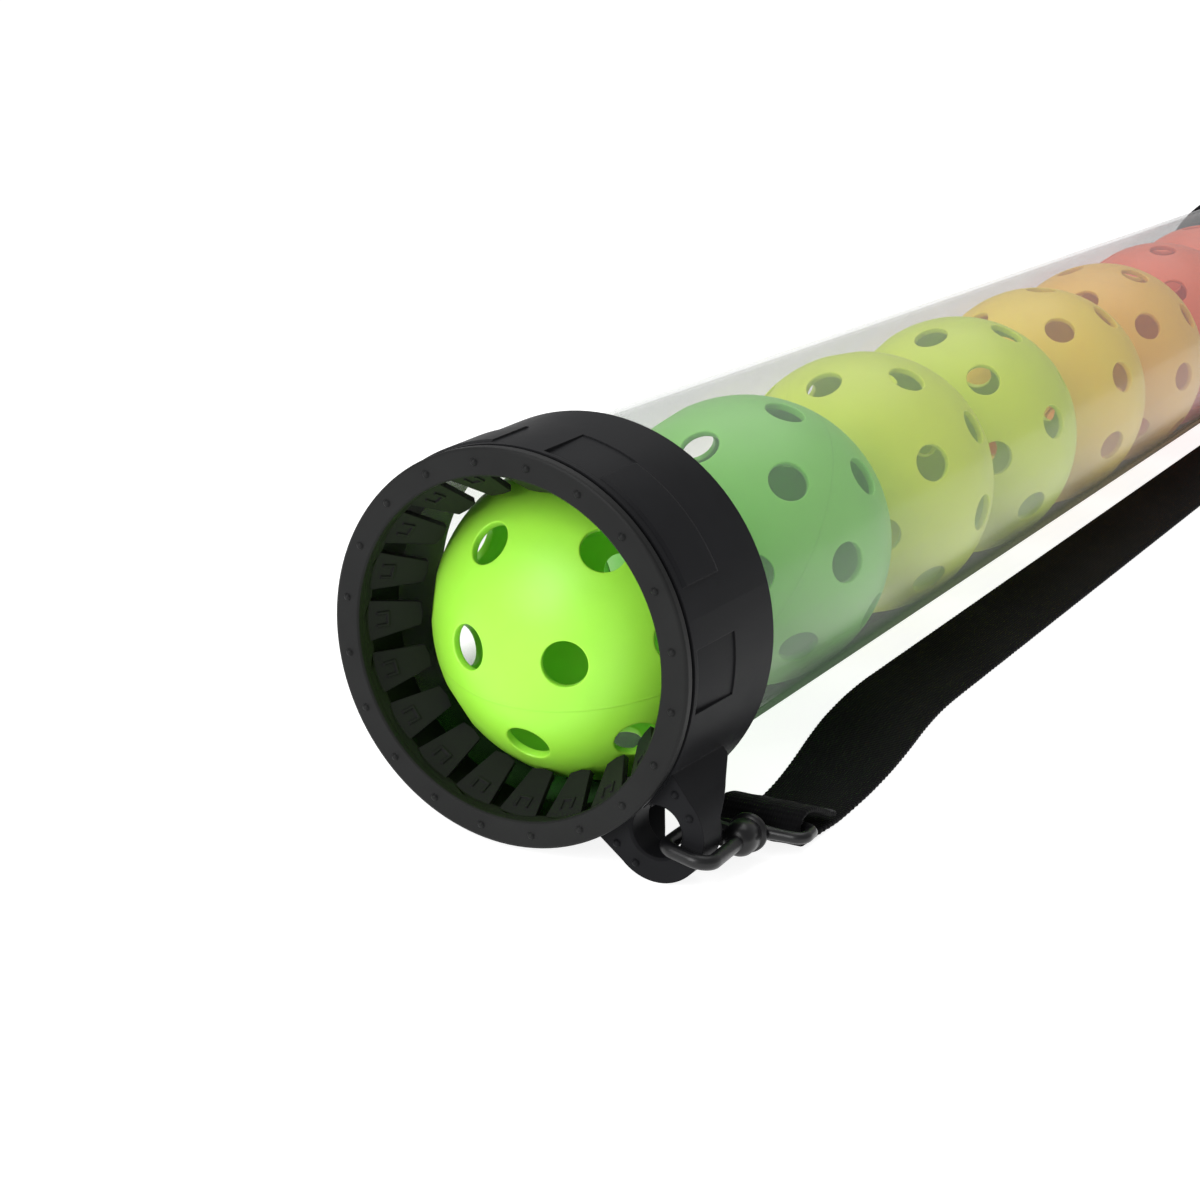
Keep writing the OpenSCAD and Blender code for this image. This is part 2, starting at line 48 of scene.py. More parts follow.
# Sizes are millimetres from the tube's axis (x, z) and from the mouth face (y), and at() turns them
# into the frame's metres. LENGTH runs from the mouth face to its mirror image at the far end.
MM = 0.001
tube_low, tube_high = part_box("tube")
AXIS_X = (tube_low.x + tube_high.x) / 2
AXIS_Z = (tube_low.z + tube_high.z) / 2
MID_Y = (tube_low.y + tube_high.y) / 2
LENGTH = 686.0
MOUTH_Y = MID_Y - LENGTH / 2 * MM


def at(x, y, z):
    return Vector((AXIS_X + x * MM, MOUTH_Y + y * MM, AXIS_Z + z * MM))


def far(p):
    """The same point at the far end, which is the mouth end seen in a mirror."""
    return Vector((p.x, 2 * MID_Y - p.y, p.z))


# ---------------------------------------------------------------- camera

# Solved from the photograph: place, the picture's right, and the way back to the camera.
CAMERA_PLACE = (219.9, -346.3, 141.1)
CAMERA_RIGHT = Vector((0.8641, 0.5025, 0.0299))
CAMERA_BACK = Vector((0.4717, -0.8290, 0.3003))


def add_camera():
    cam = bpy.data.cameras.new("camera")
    cam.sensor_fit = "HORIZONTAL"
    cam.sensor_width = 36.0
    cam.lens = 62.378
    cam.clip_start = 0.01
    cam.clip_end = 100
    obj = bpy.data.objects.new("camera", cam)
    scene.collection.objects.link(obj)
    right = CAMERA_RIGHT.normalized()
    back = (CAMERA_BACK - right * CAMERA_BACK.dot(right)).normalized()
    up = back.cross(right)
    turn = Matrix((right, up, back)).transposed().to_4x4()
    obj.matrix_world = Matrix.Translation(at(*CAMERA_PLACE)) @ turn
    scene.camera = obj


add_camera()


# ---------------------------------------------------------------- materials

class Nodes:
    """A short way to write a material's nodes."""

    def __init__(self, name):
        self.mat = bpy.data.materials.new(name)
        self.mat.use_nodes = True
        self.tree = self.mat.node_tree
        self.tree.nodes.clear()
        self.out = self.add("ShaderNodeOutputMaterial")

    def add(self, kind, **props):
        node = self.tree.nodes.new(kind)
        for key, value in props.items():
            setattr(node, key, value)
        return node

    def link(self, a, b):
        self.tree.links.new(a, b)

    def value(self, socket, value):
        if isinstance(value, (int, float, tuple, list)):
            socket.default_value = value
        else:
            self.link(value, socket)

    def math(self, op, a, b=0.0, c=0.0, clamp=False):
        node = self.add("ShaderNodeMath", operation=op, use_clamp=clamp)
        for i, v in enumerate((a, b, c)):
            self.value(node.inputs[i], v)
        return node.outputs[0]

    def mix(self, fac, a, b):
        node = self.add("ShaderNodeMix", data_type="RGBA")
        self.value(node.inputs[0], fac)
        self.value(node.inputs[6], a)
        self.value(node.inputs[7], b)
        return node.outputs[2]

    def ramp(self, fac, low, high, a=0.0, b=1.0):
        node = self.add("ShaderNodeMapRange")
        self.value(node.inputs[0], fac)
        for i, v in enumerate((low, high, a, b)):
            node.inputs[i + 1].default_value = v
        return node.outputs[0]

    def coords(self, kind="Object", scale=None):
        out = self.add("ShaderNodeTexCoord").outputs[kind]
        if scale is None:
            return out
        node = self.add("ShaderNodeMapping")
        self.link(out, node.inputs[0])
        node.inputs[3].default_value = scale
        return node.outputs[0]

    def noise(self, vector, scale, detail=3.0, rough=0.55):
        node = self.add("ShaderNodeTexNoise")
        self.link(vector, node.inputs["Vector"])
        node.inputs["Scale"].default_value = scale
        node.inputs["Detail"].default_value = detail
        node.inputs["Roughness"].default_value = rough
        return node.outputs[0]

    def bump(self, height, distance, strength=1.0, normal=None):
        node = self.add("ShaderNodeBump")
        node.inputs["Strength"].default_value = strength
        node.inputs["Distance"].default_value = distance
        self.link(height, node.inputs["Height"])
        if normal is not None:
            self.link(normal, node.inputs["Normal"])
        return node.outputs[0]

    def rounded(self, radius):
        node = self.add("ShaderNodeBevel", samples=4)
        node.inputs[0].default_value = radius
        return node.outputs[0]

    def shader(self, **sockets):
        node = self.add("ShaderNodeBsdfPrincipled")
        for key, v in sockets.items():
            self.value(node.inputs[key.replace("_", " ")], v)
        self.link(node.outputs[0], self.out.inputs[0])
        return node


def colour(r, g, b):
    return (r, g, b, 1.0)


def black_plastic(name, base, rough, shine, grain=0.00002, edge=0.0004):
    n = Nodes(name)
    p = n.coords()
    cloudy = n.noise(p, 45.0, 3.0)
    fine = n.noise(p, 2600.0, 2.0, 0.6)
    scuffs = n.noise(n.coords(scale=(1.0, 6.0, 1.0)), 380.0, 4.0, 0.7)
    tint = n.mix(n.ramp(cloudy, 0.35, 0.7), colour(*base), colour(*[c * 1.35 for c in base]))
    tint = n.mix(n.ramp(scuffs, 0.66, 0.8, 0.0, 0.35), tint, colour(*[c * 2.2 for c in base]))
    n.shader(
        Base_Color=tint,
        Roughness=n.ramp(cloudy, 0.3, 0.75, rough - 0.06, rough + 0.07),
        Specular_IOR_Level=shine,
        Normal=n.bump(fine, grain, 0.6, n.rounded(edge) if edge else None),
    )
    return n.mat


def ball_plastic(name, base):
    n = Nodes(name)
    p = n.add("ShaderNodeAttribute", attribute_name="own_place").outputs["Vector"]
    cloudy = n.noise(p, 60.0, 3.0)
    fine = n.noise(p, 1500.0, 3.0, 0.65)
    split = n.add("ShaderNodeSeparateXYZ")
    n.link(p, split.inputs[0])
    height = n.math("ABSOLUTE", split.outputs[2])
    seam = n.ramp(height, 0.00012, 0.00034, 1.0, 0.0)
    dark = colour(*[c * 0.82 for c in base])
    light = colour(*[min(1.0, c * 1.06 + 0.004) for c in base])
    tint = n.mix(n.ramp(cloudy, 0.3, 0.72), colour(*base), light)
    tint = n.mix(n.math("MULTIPLY", seam, 0.35), tint, dark)
    relief = n.math("MULTIPLY_ADD", seam, 0.8, n.math("MULTIPLY", fine, 0.16))
    n.shader(
        Base_Color=tint,
        Roughness=n.ramp(cloudy, 0.3, 0.75, 0.36, 0.46),
        Specular_IOR_Level=0.42,
        Subsurface_Weight=0.25,
        Subsurface_Radius=(0.8, 1.0, 0.35),
        Subsurface_Scale=0.0025,
        Normal=n.bump(relief, 0.00006, 0.8),
    )
    return n.mat


# The tube's band of painted shade, in millimetres: below the axis where it begins and is full, and
# from the mouth where it stops being all green and where it is all brown.
SHADE_BAND_TOP, SHADE_BAND_FULL = 16, 24
GREEN_TO, BROWN_FROM = 100, 500


def clear_plastic(name):
    """Clear tube: a thin grey veil, thicker where the wall is seen edge on, with faint draw lines
    along it. Low on the tube lies a band of painted shade, green near the mouth and brown further in
    after the balls seen through the wall."""
    n = Nodes(name)
    p = n.coords()
    cloudy = n.noise(p, 14.0, 3.0)
    lines = n.noise(n.coords(scale=(1.0, 0.02, 1.0)), 900.0, 3.0, 0.6)
    scratch = n.noise(n.coords(scale=(1.0, 0.12, 1.0)), 1400.0, 2.0, 0.8)
    rim = n.add("ShaderNodeLayerWeight")
    rim.inputs["Blend"].default_value = 0.5
    facing = rim.outputs["Facing"]
    place = n.add("ShaderNodeSeparateXYZ")
    n.link(p, place.inputs[0])
    # Where the painted shade lies: along the tube it goes from green to brown, by height it lies low
    # below the axis.
    shade_tint_along = n.ramp(place.outputs[1], MOUTH_Y + GREEN_TO * MM, MOUTH_Y + BROWN_FROM * MM)
    low = n.ramp(place.outputs[2], AXIS_Z - SHADE_BAND_TOP * MM, AXIS_Z - SHADE_BAND_FULL * MM)
    # The painted shade band turns more opaque where the lower wall is seen edge on.
    painted_shade_edge = n.math("MULTIPLY", low, n.ramp(facing, 0.33, 0.39))
    veil = n.ramp(facing, 0.4, 1.0, 0.1, 0.36)
    veil = n.math("MULTIPLY_ADD", painted_shade_edge, n.ramp(facing, 0.75, 1.0, 0.6, 0.36), veil)
    veil = n.math("ADD", veil, n.ramp(cloudy, 0.3, 0.7, -0.01, 0.01))
    veil = n.math("ADD", veil, n.ramp(scratch, 0.72, 0.85, 0.0, 0.03), clamp=True)
    # Painted shade colour, green near the mouth and brown further in.
    painted_shade = n.mix(shade_tint_along, colour(0.05, 0.13, 0.04), colour(0.2, 0.1, 0.04))
    # Base colour: the grey veil, with the painted shade low on the tube.
    n.shader(
        Base_Color=n.mix(low, colour(0.34, 0.345, 0.35), painted_shade),
        Roughness=n.ramp(lines, 0.3, 0.7, 0.14, 0.2),
        Specular_IOR_Level=n.ramp(low, 0.0, 0.7, 0.5, 0.0),
        Alpha=veil,
        Normal=n.bump(lines, 0.00003, 0.3),
    )
    return n.mat


RIB_PITCH, SHIFT_PITCH, WARP_PITCH = 1.15, 1.5, 0.75


def webbing(name):
    """Woven polyester: ribs across the band, warp lines along it, from its map in millimetres."""
    n = Nodes(name)
    uv = n.coords("UV")
    split = n.add("ShaderNodeSeparateXYZ")
    n.link(uv, split.inputs[0])
    across, along = split.outputs[0], split.outputs[1]

    def waves(distance, pitch):
        return n.math("SINE", n.math("MULTIPLY", distance, 2 * math.pi / pitch))

    rib = waves(along, RIB_PITCH)
    shift = n.math("MULTIPLY", waves(across, SHIFT_PITCH), 0.5)
    warp = waves(across, WARP_PITCH)
    weave = n.math("MULTIPLY_ADD", warp, 0.5, n.math("MULTIPLY", rib, 0.5))
    weave = n.math("ADD", weave, n.math("MULTIPLY", shift, 0.3))
    fuzz = n.noise(n.coords(), 2200.0, 3.0, 0.7)
    wear = n.noise(n.coords(), 70.0, 4.0, 0.6)
    # The weave's deep parts carry painted shade and its raised parts painted light, besides the
    # bumps.
    shaded_deep, lit_raised = colour(0.0012, 0.0012, 0.0014), colour(0.0048, 0.0049, 0.0055)
    tint = n.mix(n.ramp(weave, -1.0, 1.0), shaded_deep, lit_raised)
    tint = n.mix(n.ramp(wear, 0.45, 0.75, 0.0, 0.4), tint, colour(0.0075, 0.0075, 0.0082))
    n.shader(
        Base_Color=tint,
        Roughness=n.ramp(fuzz, 0.3, 0.7, 0.62, 0.8),
        Specular_IOR_Level=0.06,
        Sheen_Weight=0.015,
        Sheen_Roughness=0.5,
        Normal=n.bump(n.math("MULTIPLY_ADD", fuzz, 0.3, weave), 0.00012, 0.7),
    )
    return n.mat


def coated_metal(name, base, rough, metallic=0.0):
    n = Nodes(name)
    p = n.coords()
    cloudy = n.noise(p, 160.0, 4.0)
    fine = n.noise(p, 3200.0, 2.0, 0.6)
    worn = n.noise(p, 520.0, 5.0, 0.7)
    bare = colour(*[c * 2.4 + 0.01 for c in base])
    tint = n.mix(n.ramp(worn, 0.68, 0.82, 0.0, 0.4), colour(*base), bare)
    n.shader(
        Base_Color=tint,
        Metallic=metallic,
        Roughness=n.ramp(cloudy, 0.3, 0.75, rough - 0.07, rough + 0.08),
        Specular_IOR_Level=0.35,
        Coat_Weight=0.1,
        Coat_Roughness=0.25,
        Normal=n.bump(fine, 0.00002, 0.5, n.rounded(0.0002)),
    )
    return n.mat


def thread(name):
    n = Nodes(name)
    p = n.coords()
    twist = n.noise(p, 3000.0, 2.0)
    n.shader(
        Base_Color=n.mix(twist, colour(0.012, 0.012, 0.013), colour(0.045, 0.045, 0.048)),
        Roughness=n.ramp(twist, 0.3, 0.7, 0.5, 0.65),
        Specular_IOR_Level=0.4,
        Normal=n.bump(twist, 0.00005, 0.6),
    )
    return n.mat


collar_mat = black_plastic("collar_plastic", (0.0105, 0.0107, 0.0118), 0.42, 0.05)
ring_mat = black_plastic("ring_plastic", (0.0125, 0.0128, 0.0128), 0.46, 0.12, grain=0.00003)
cap_mat = black_plastic("cap_plastic", (0.0105, 0.0107, 0.0118), 0.42, 0.06)
tube_mat = clear_plastic("tube_plastic")
strap_mat = webbing("strap_webbing")
metal_mat = coated_metal("coated_metal", (0.0045, 0.0045, 0.0052), 0.34)
pin_mat = coated_metal("pin_metal", (0.22, 0.22, 0.23), 0.3, 1.0)
thread_mat = thread("strap_thread")

LIME = (0.37, 0.86, 0.06)
GREEN = (0.235, 0.66, 0.11)
CITRUS = (0.70, 0.86, 0.05)
AMBER = (1.0, 0.68, 0.055)
ORANGE = (0.98, 0.54, 0.075)
RED = (0.95, 0.17, 0.075)
# From the mouth inwards: the name its material is shared under, colour and how the ball is turned, in
# degrees.
BALLS = [
    ("ball_lime", LIME, (18, 1, -9)), ("ball_green", GREEN, (-121, -31, -26)),
    ("ball_citrus", CITRUS, (144, 48, -38)), ("ball_citrus", CITRUS, (93, -27, -142)),
    ("ball_amber", AMBER, (35, 10, 80)), ("ball_orange", ORANGE, (-60, 25, 15)),
    ("ball_red", RED, (110, 5, -70)), ("ball_red", RED, (-20, 62, 40)),
]


def dress(node, mat):
    data = nodes[node].data
    data.materials.clear()
    data.materials.append(mat)


for node, mat in (
    ("tube", tube_mat), ("mouth_collar", collar_mat), ("end_collar", collar_mat),
    ("finger_ring", ring_mat), ("end_cap", cap_mat), ("mouth_gate", metal_mat),
    ("end_gate", metal_mat), ("mouth_gate_pin", pin_mat), ("end_gate_pin", pin_mat),
):
    dress(node, mat)


# ---------------------------------------------------------------- mesh helpers

def new_object(name, verts, faces, mat, smooth=True, uvs=None):
    me = bpy.data.meshes.new(name)
    me.from_pydata([tuple(v) for v in verts], [], faces)
    me.validate()
    if uvs is not None:
        layer = me.uv_layers.new(name="band")
        flat = np.array([uvs[v] for f in faces for v in f], np.float32)
        layer.data.foreach_set("uv", flat.ravel())
    me.polygons.foreach_set("use_smooth", [smooth] * len(me.polygons))
    me.materials.append(mat)
    me.update()
    obj = bpy.data.objects.new(name, me)
    scene.collection.objects.link(obj)
    return obj


def skin(rings, sides, closed=False):
    """Faces between rings of points in a row, with flat ends unless the row closes on itself."""
    faces = []
    for i in range(rings if closed else rings - 1):
        a, b = i * sides, (i + 1) % rings * sides
        for k in range(sides):
            m = (k + 1) % sides
            faces.append((a + k, a + m, b + m, b + k))
    if not closed:
        faces.append(tuple(range(sides - 1, -1, -1)))
        faces.append(tuple(range((rings - 1) * sides, rings * sides)))
    return faces


def swept(points, radii, sides=20, closed=False):
    """Round bar along a line: rings carried along without twist."""
    pts = [Vector(p) for p in points]
    n = len(pts)
    tangents = []
    for i in range(n):
        a = pts[(i - 1) % n] if closed or i > 0 else pts[0]
        b = pts[(i + 1) % n] if closed or i < n - 1 else pts[-1]
        tangents.append((b - a).normalized())
    off_every_bar = Vector((0.0123, 0.031, 1.0))
    side = tangents[0].cross(off_every_bar).normalized()
    verts = []
    for i in range(n):
        side = (side - tangents[i] * side.dot(tangents[i])).normalized()
        other = tangents[i].cross(side)
        for k in range(sides):
            a = 2 * math.pi * k / sides
            verts.append(pts[i] + (side * math.cos(a) + other * math.sin(a)) * radii[i])
    return verts, skin(n, sides, closed)


def domed(points, r, steps=5):
    """Adds short rings at both ends of a line, so that its ends are round."""
    pts = [Vector(p) for p in points]
    start, end = (pts[1] - pts[0]).normalized(), (pts[-1] - pts[-2]).normalized()
    arcs = [math.pi / 2 * (k + 0.15) / (steps + 0.15) for k in range(steps)]
    head = [(pts[0] - start * r * math.cos(a), r * math.sin(a)) for a in arcs]
    tail = [(pts[-1] + end * r * math.cos(a), r * math.sin(a)) for a in reversed(arcs)]
    line = head + [(p, r) for p in pts] + tail
    return [p for p, _ in line], [q for _, q in line]


def rounded_path(corners, rad, closed=False, steps=10):
    """Points along a polyline whose corners are rounded."""
    pts = [Vector(p) for p in corners]
    n = len(pts)
    out = []
    for i in range(n):
        if not closed and i in (0, n - 1):
            out.append(pts[i])
            continue
        a, b, c = pts[(i - 1) % n], pts[i], pts[(i + 1) % n]
        u, w = (a - b).normalized(), (c - b).normalized()
        half = u.angle(w) / 2
        cut = rad / math.tan(half)
        centre = b + (u + w).normalized() * rad / math.sin(half)
        s, e = b + u * cut - centre, b + w * cut - centre
        whole = s.angle(e)
        for k in range(steps + 1):
            t = k / steps
            v = (s * math.sin((1 - t) * whole) + e * math.sin(t * whole)) / math.sin(whole)
            out.append(centre + v)
    return out


def cut_up(path, step, closed=False):
    """The same line with points at most about two steps apart."""
    line = []
    for a, b in zip(path, path[1:] + path[:1] if closed else path[1:]):
        m = max(1, int((b - a).length / step))
        line += [a + (b - a) * k / m for k in range(m)]
    return line if closed else line + [path[-1]]


def turned(profile, sides=40):
    """Lathe: profile of (distance along, radius) about a local Y axis, closed at both ends."""
    verts = []
    for y, r in profile:
        for k in range(sides):
            a = 2 * math.pi * k / sides
            verts.append(Vector((r * math.cos(a), y, r * math.sin(a))))
    return verts, skin(len(profile), sides)


def joined(parts):
    verts, faces = [], []
    for v, f in parts:
        base = len(verts)
        verts += v
        faces += [tuple(i + base for i in q) for q in f]
    return verts, faces


def outward(obj):
    bm = bmesh.new()
    bm.from_mesh(obj.data)
    bmesh.ops.recalc_face_normals(bm, faces=bm.faces)
    bm.to_mesh(obj.data)
    bm.free()


def smooth_by_angle(obj, degrees):
    """Keeps edges sharp where the faces meet at a steep angle."""
    bm = bmesh.new()
    bm.from_mesh(obj.data)
    for e in bm.edges:
        if len(e.link_faces) == 2:
            e.smooth = e.calc_face_angle(0) < math.radians(degrees)
    bm.to_mesh(obj.data)
    bm.free()


# ---------------------------------------------------------------- finger ring

# The number of fingers, and a depth between the ring's face with its pips and the fingers' roots.
FINGERS = 20
FACE_T = 2.9


def ring_piece():
    """The face ring as built, with all behind its face turned half a step about the axis, so that
    the fingers stand between the pips."""
    source = nodes["finger_ring"]
    me = source.data.copy()
    me.transform(source.matrix_world)
    half_step = math.pi / FINGERS
    hub_y = MOUTH_Y + FACE_T * MM
    middle = Vector((AXIS_X, 0.0, AXIS_Z))
    spin = Matrix.Rotation(half_step, 4, "Y")
    spin = Matrix.Translation(middle) @ spin @ Matrix.Translation(-middle)
    for v in me.vertices:
        if v.co.y > hub_y:
            v.co = spin @ v.co
    me.update()
    obj = bpy.data.objects.new("finger_ring_piece", me)
    scene.collection.objects.link(obj)
    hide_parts("finger_ring")
    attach(obj, "tube_body")


ring_piece()


# ---------------------------------------------------------------- balls

BALL_R, BALL_WALL, HOLE_R = 37.0, 1.9, 5.0
FIRST_Y, PITCH, DROP = 39.063, 74.3, 2.0
# Steps round a hole, the radius where its edge meets the net, the net's points, their room to a hole.
HOLE_STEPS, HOLE_REACH = 48, HOLE_R + 0.95
NET_POINTS, NET_ROOM = 3600, 1.0


def hole_directions():
    found = [(90, 0), (-90, 0)]
    found += [(17, 20 + 40 * k) for k in range(9)] + [(-17, 40 * k) for k in range(9)]
    found += [(52.5, 36 + 72 * k) for k in range(5)] + [(-52.5, -16 + 72 * k) for k in range(5)]
    out = []
    for lat, lon in found:
        a, b = math.radians(lat), math.radians(lon)
        out.append(Vector((math.cos(a) * math.cos(b), math.cos(a) * math.sin(b), math.sin(a))))
    return out


def ball_mesh():
    """Hollow ball: an even net over the sphere, with a round-edged hole at each direction."""
    ring_n, reach = HOLE_STEPS, HOLE_REACH
    inner_r = BALL_R - BALL_WALL
    dirs = hole_directions()
    frames = []
    for d in dirs:
        u = d.orthogonal().normalized()
        frames.append((d, u, d.cross(u)))
    points, owner = [], []
    for h, (d, u, v) in enumerate(frames):
        rise = math.sqrt(BALL_R ** 2 - reach ** 2)
        for k in range(ring_n):
            a = 2 * math.pi * k / ring_n
            points.append(d * rise + (u * math.cos(a) + v * math.sin(a)) * reach)
            owner.append(h)
    golden = math.pi * (3 - math.sqrt(5))
    keep = math.cos(math.asin(reach / BALL_R) + NET_ROOM / BALL_R)
    for i in range(NET_POINTS):
        z = 1 - 2 * (i + 0.5) / NET_POINTS
        r = math.sqrt(1 - z * z)
        p = Vector((r * math.cos(golden * i), r * math.sin(golden * i), z))
        if all(p.dot(d) < keep for d in dirs):
            points.append(p * BALL_R)
            owner.append(-1)
    bm = bmesh.new()
    bm_verts = [bm.verts.new(p) for p in points]
    bm.verts.index_update()
    bmesh.ops.convex_hull(bm, input=bm_verts)
    bm.verts.index_update()
    net = []
    for f in bm.faces:
        ids = [v.index for v in f.verts]
        if owner[ids[0]] >= 0 and len({owner[i] for i in ids}) == 1:
            continue
        centre = f.calc_center_median()
        net.append(tuple(ids) if f.normal.dot(centre) > 0 else tuple(reversed(ids)))
    bm.free()
    verts = [Vector(p) for p in points]
    n = len(verts)
    scale = inner_r / BALL_R
    verts += [p * scale for p in points]
    faces = list(net) + [tuple(i + n for i in reversed(f)) for f in net]

    def on(radius, rho):
        return rho, math.sqrt(radius ** 2 - rho ** 2)

    top = math.sqrt(BALL_R ** 2 - HOLE_R ** 2)
    low = math.sqrt(inner_r ** 2 - HOLE_R ** 2)
    lip = [
        on(BALL_R, HOLE_R + 0.45), (HOLE_R + 0.20, top - 0.035), (HOLE_R + 0.05, top - 0.16),
        (HOLE_R, top - 0.42), (HOLE_R, low + 0.3), (HOLE_R + 0.05, low + 0.1),
        on(inner_r, HOLE_R + 0.25),
    ]
    for h, (d, u, v) in enumerate(frames):
        rows = [[h * ring_n + k for k in range(ring_n)]]
        for rho, rise in lip:
            start = len(verts)
            for k in range(ring_n):
                a = 2 * math.pi * k / ring_n
                verts.append(d * rise + (u * math.cos(a) + v * math.sin(a)) * rho)
            rows.append(list(range(start, start + ring_n)))
        rows.append([n + h * ring_n + k for k in range(ring_n)])
        for a, b in zip(rows, rows[1:]):
            for k in range(ring_n):
                m = (k + 1) % ring_n
                faces.append((a[k], b[k], b[m], a[m]))
    me = bpy.data.meshes.new("ball")
    me.from_pydata([tuple(p * MM) for p in verts], [], faces)
    me.polygons.foreach_set("use_smooth", [True] * len(me.polygons))
    own = me.attributes.new("own_place", "FLOAT_VECTOR", "POINT")
    own.data.foreach_set("vector", np.array([tuple(p * MM) for p in verts], np.float32).ravel())
    me.update()
    bm = bmesh.new()
    bm.from_mesh(me)
    bmesh.ops.recalc_face_normals(bm, faces=bm.faces)
    bm.to_mesh(me)
    bm.free()
    return me


shared = ball_mesh()
ball_mats = {}
for i, (slot, base, turn) in enumerate(BALLS):
    me = shared.copy()
    spin = Euler([math.radians(a) for a in turn], "XYZ").to_matrix().to_4x4()
    me.transform(spin)
    if slot not in ball_mats:
        ball_mats[slot] = ball_plastic("%s_plastic" % slot, base)
    me.materials.append(ball_mats[slot])
    ball = bpy.data.objects.new("ball_piece_%d" % (i + 1), me)
    scene.collection.objects.link(ball)
    ball.matrix_world = Matrix.Translation(at(0, FIRST_Y + i * PITCH, -DROP))
    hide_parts("ball_%d" % (i + 1))
    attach(ball, "ball_%d_body" % (i + 1))
bpy.data.meshes.remove(shared)


# ---------------------------------------------------------------- snap hooks and strap eyes

# Lug, collar rim, where the hook lies in the lug, then hook, barrel and eye: the solids' own sizes.
LUG_REACH, LUG_R, LUG_HOLE, RIM_R = 48.8, 11.2, 5.8, 44.6
LUG_T, SETBACK = 8.0, 4.0
LUG_ANGLE = math.acos((RIM_R - LUG_R) / LUG_REACH) - math.pi / 2
LUG_X, LUG_Z = LUG_REACH * math.cos(LUG_ANGLE), LUG_REACH * math.sin(LUG_ANGLE)
HOOK_DROP = 3.6
HOOK_X = LUG_X + math.sqrt(((LUG_HOLE + LUG_R) / 2) ** 2 - HOOK_DROP ** 2)
HOOK_Y, HOOK_Z = SETBACK + LUG_T / 2, LUG_Z - HOOK_DROP
HOOK_TURN, HOOK_DIP, HOOK_ROLL = math.radians(6), math.radians(5), math.radians(7)
BAR_R, CLAW_W, CLAW_LEN = 1.6, 10.8, 10.0
CLAW_BEND, NOSE_PAST = 3.3, 1.2
TIP_X, BACK_X = -CLAW_W / 2, CLAW_W / 2
FRONT_TIP = -LUG_T / 2 - BAR_R
FRONT_BACK = FRONT_TIP - 2.4
BARREL_X, BARREL_R, BARREL_END = BACK_X - 0.3, 3.8, CLAW_LEN + 7.5
EYE_R, FOLD_W, EYE_GAP, EYE_BEND = 1.3, 19.4, 5.0, 2.5
EYE_HALF, EYE_NEAR = FOLD_W / 2 + 0.7 + EYE_R, BARREL_END + EYE_R + 0.4
EYE_FAR = EYE_NEAR + EYE_GAP + 2 * EYE_R
HOOK_MATRIX = Matrix.Rotation(HOOK_TURN, 4, "Z") @ Matrix.Rotation(-HOOK_DIP, 4, "X")


def hook_place(p):
    q = HOOK_MATRIX @ Vector(p)
    return at(HOOK_X + q.x, HOOK_Y + q.y, HOOK_Z + q.z)


def rolled(p):
    """The claw, the barrel and the cheeks for the gate's pin roll about the barrel, while the eye
    stays level.
    """
    q = Matrix.Rotation(HOOK_ROLL, 3, "Y") @ Vector((p[0] - BARREL_X, p[1], p[2]))
    return q + Vector((BARREL_X, 0, 0))


def place_all(verts, mirrored):
    out = [hook_place(v) for v in verts]
    return [far(p) for p in out] if mirrored else out


def claw():
    """The hook's bent bar, from its slightly thinner nose to the barrel."""
    corners = [(TIP_X, LUG_T / 2 + NOSE_PAST, 0), (TIP_X, FRONT_TIP, 0),
               (BACK_X, FRONT_BACK, 0), (BACK_X, CLAW_LEN + 1.0, 0)]
    line = cut_up(rounded_path(corners, CLAW_BEND, steps=14), 0.8)
    pts, radii = domed(line, BAR_R)
    radii = [r * (1.0 if k > 10 else 0.93 + 0.007 * k) for k, r in enumerate(radii)]
    return swept(pts, radii, 24)


def barrel():
    """The swivel's barrel: neck, groove, collar and the countersink round the eye's post."""
    profile = [
        (CLAW_LEN - 1.2, 1.5), (CLAW_LEN - 0.9, 2.3), (CLAW_LEN - 0.3, 3.0),
        (CLAW_LEN + 0.3, 3.4), (CLAW_LEN + 0.9, 3.62), (CLAW_LEN + 1.6, BARREL_R),
        (CLAW_LEN + 4.9, BARREL_R), (CLAW_LEN + 5.1, 3.7), (CLAW_LEN + 5.25, 3.5),
        (CLAW_LEN + 5.75, 3.5), (CLAW_LEN + 5.9, 3.85), (BARREL_END - 1.4, 4.15),
        (BARREL_END - 1.2, 4.34), (BARREL_END - 0.5, 4.4), (BARREL_END - 0.15, 4.28),
        (BARREL_END, 4.0), (BARREL_END, 2.2), (BARREL_END - 0.2, 1.9),
        (BARREL_END - 0.5, 1.7), (BARREL_END - 0.6, 1.5),
    ]
    v, f = turned(profile)
    return [p + Vector((BARREL_X, 0, 0)) for p in v], f


